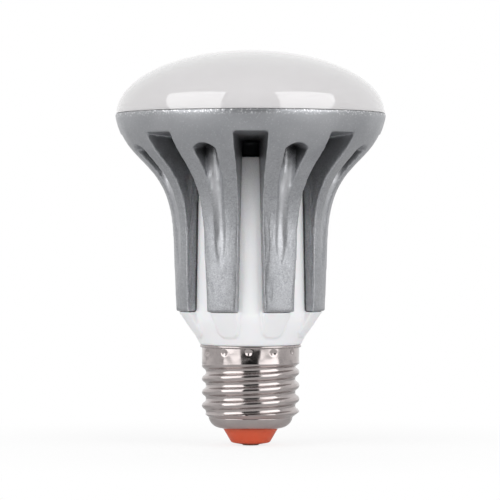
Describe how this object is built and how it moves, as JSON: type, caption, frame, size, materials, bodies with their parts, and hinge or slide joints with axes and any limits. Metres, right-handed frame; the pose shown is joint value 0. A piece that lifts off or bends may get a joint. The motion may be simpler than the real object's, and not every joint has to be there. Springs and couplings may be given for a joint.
{
  "type": "reflector bulb",
  "caption": "Reflector-shaped LED lamp with an opal dome, ribbed die-cast heat sink, white driver housing and a medium Edison screw cap.",
  "frame": {"origin": "tip of the centre contact, on the lamp's axis", "axes": "+Z along the lamp's axis from the cap to the dome; the middle of one slot between the ribs faces -Y"},
  "size_m": [0.073, 0.073, 0.1067],
  "materials": {
    "opal_polycarbonate": "satin opal",
    "silver_paint": "metallic silver paint on die-cast aluminium",
    "white_pbt": "semi-gloss moulded plastic",
    "nickel_plate": "nickel-plated sheet steel",
    "orange_insulator": "moulded insulator",
    "contact_metal": "plated contact",
    "board_aluminium": "white solder mask on aluminium",
    "led_phosphor": "phosphor-filled LED package",
    "zinc_steel": "zinc-plated steel",
    "circuit_board": "green solder mask on glass-fibre board",
    "ferrite": "sintered ferrite",
    "winding_tape": "polyester tape",
    "capacitor_sleeve": "shrink sleeve",
    "film_case": "dipped film capacitor",
    "black_epoxy": "moulded epoxy package",
    "fuse_ceramic": "cement-coated resistor",
    "red_wire": "PVC insulation",
    "black_wire": "PVC insulation",
    "brown_wire": "PVC insulation",
    "blue_wire": "PVC insulation"
  },
  "bodies": {
    "root": {"diffuser": "opal_polycarbonate", "heat_sink": "silver_paint", "led_board": "board_aluminium", "led_chips": "led_phosphor", "board_screws": "zinc_steel", "housing": "white_pbt", "housing_lid": "white_pbt", "driver_board": "circuit_board", "transformer_core": "ferrite", "transformer_winding": "winding_tape", "input_capacitor": "capacitor_sleeve", "output_capacitor": "capacitor_sleeve", "film_capacitor": "film_case", "filter_choke": "ferrite", "bridge_rectifier": "black_epoxy", "driver_chip": "black_epoxy", "fuse_resistor": "fuse_ceramic", "led_wire_positive": "red_wire", "led_wire_negative": "black_wire", "live_wire": "brown_wire", "neutral_wire": "blue_wire", "screw_shell": "nickel_plate", "insulator": "orange_insulator", "centre_contact": "contact_metal"}
  },
  "joints": []
}
